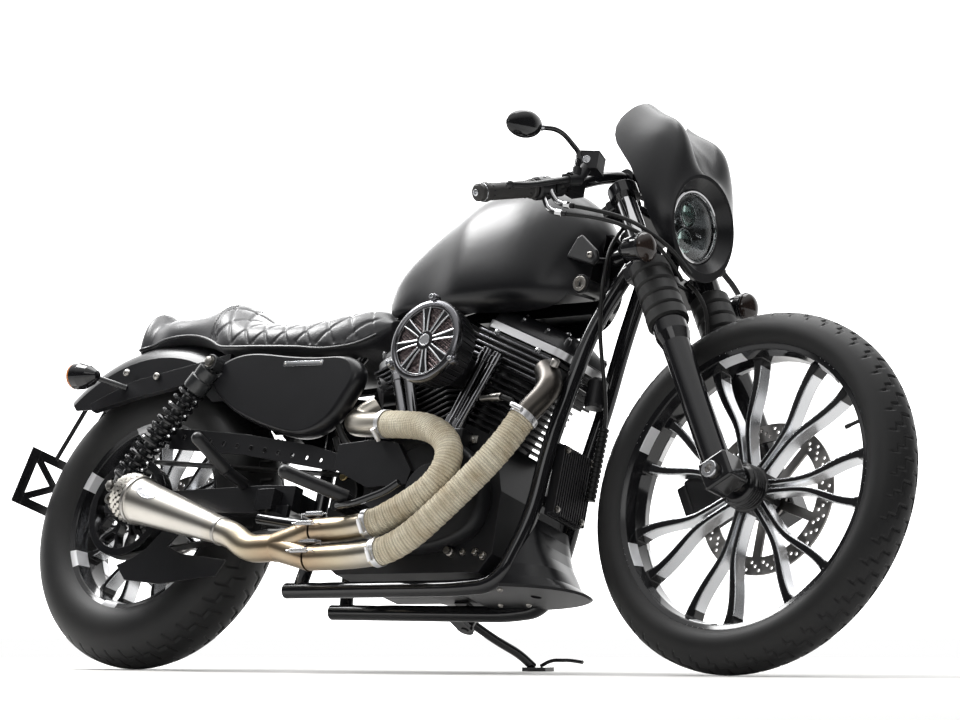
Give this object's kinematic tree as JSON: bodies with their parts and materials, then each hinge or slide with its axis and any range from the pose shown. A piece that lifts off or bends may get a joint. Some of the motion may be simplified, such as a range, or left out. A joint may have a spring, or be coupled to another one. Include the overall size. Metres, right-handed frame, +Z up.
{
  "type": "chopper motorcycle",
  "caption": "V-twin chopper motorcycle with split-spoke wheels, quarter fairing, wrapped exhaust pipes and a quilted seat, parked on its side stand.",
  "frame": {"origin": "bottom centre of the bounding box, on the road", "axes": "+X forward, +Y to the motorcycle's left, +Z up, with the motorcycle leaning on its side stand"},
  "size_m": [2.2337, 0.8759, 1.1111],
  "materials": {
    "black_plastic": "satin",
    "black_rubber": "matte",
    "black_wheel": "gloss black with machined edges",
    "chrome": "polished",
    "disc_steel": "drilled brake disc",
    "gloss_black": "gloss black",
    "headlamp_glass": "clear",
    "heat_wrap": "cream heat wrap",
    "machined": "brushed",
    "matte_black": "satin black paint",
    "seat_leather": "black leather",
    "stainless": "brushed, heat tinted",
    "tyre_rubber": "worn black rubber",
    "wrinkle_black": "wrinkle black casting"
  },
  "bodies": {
    "chassis": {"frame_backbone": "gloss_black", "frame_cradle_tubes": "gloss_black", "frame_rear_uprights": "gloss_black", "frame_canister": "wrinkle_black", "fuel_tank": "matte_black", "seat": "seat_leather", "rear_fender": "matte_black", "fender_struts": "gloss_black", "side_covers": "matte_black", "crankcase": "wrinkle_black", "cam_cover": "wrinkle_black", "primary_cover": "wrinkle_black", "cylinders": "wrinkle_black", "rocker_covers": "wrinkle_black", "pushrod_tubes": "chrome", "air_cleaner": "wrinkle_black", "exhaust_headers": "heat_wrap", "exhaust_collector": "stainless", "muffler": "stainless", "swingarm": "gloss_black", "shocks": "gloss_black", "rear_axle": "machined", "belt_guards": "matte_black", "drive_belt": "black_rubber", "foot_pegs": "gloss_black", "belly_pan": "matte_black", "voltage_regulator": "wrinkle_black", "oil_hoses": "black_rubber", "plate_bracket": "gloss_black", "rear_turn_signals": "gloss_black", "ignition_pieces": "matte_black", "clutch_cable": "black_rubber", "cable_holders": "black_rubber", "foot_controls": "gloss_black", "rear_brake_caliper": "gloss_black", "stand_mount": "gloss_black"},
    "fork": {"fork_sliders": "gloss_black", "fork_gaiters": "black_rubber", "fork_tubes": "chrome", "fork_yokes": "gloss_black", "front_axle": "machined", "front_brake_caliper": "gloss_black", "handlebar": "gloss_black", "grips": "black_rubber", "hand_controls": "black_plastic", "mirror": "gloss_black", "headlamp": "headlamp_glass", "headlamp_fairing": "matte_black", "front_turn_signals": "gloss_black", "throttle_cables": "black_rubber", "front_brake_hose": "black_rubber"},
    "front_wheel": {"front_tyre": "tyre_rubber", "front_wheel": "black_wheel", "front_brake_disc": "disc_steel"},
    "rear_wheel": {"rear_tyre": "tyre_rubber", "rear_wheel": "black_wheel", "rear_brake_disc": "disc_steel", "rear_pulley": "machined"},
    "side_stand": {"side_stand": "gloss_black"}
  },
  "joints": [
    {"name": "steering", "type": "hinge", "parent": "chassis", "child": "fork", "pos_m": [0.42097, 0.02902, 0.80116], "axis": [-0.4999, 0.2532, 0.8282], "range_deg": [-27, 33]},
    {"name": "front_wheel_spin", "type": "hinge", "parent": "fork", "child": "front_wheel", "pos_m": [0.77283, -0.11714, 0.33379], "axis": [0.0453, 0.9626, -0.2669], "continuous": true},
    {"name": "rear_wheel_spin", "type": "hinge", "parent": "chassis", "child": "rear_wheel", "pos_m": [-0.7421, -0.12056, 0.31198], "axis": [0, 0.9563, -0.2924], "continuous": true},
    {"name": "side_stand_fold", "type": "hinge", "parent": "chassis", "child": "side_stand", "pos_m": [0.05788, -0.05876, 0.10021], "axis": [0.0131, 0.5319, 0.8467], "range_deg": [0, 104]}
  ]
}
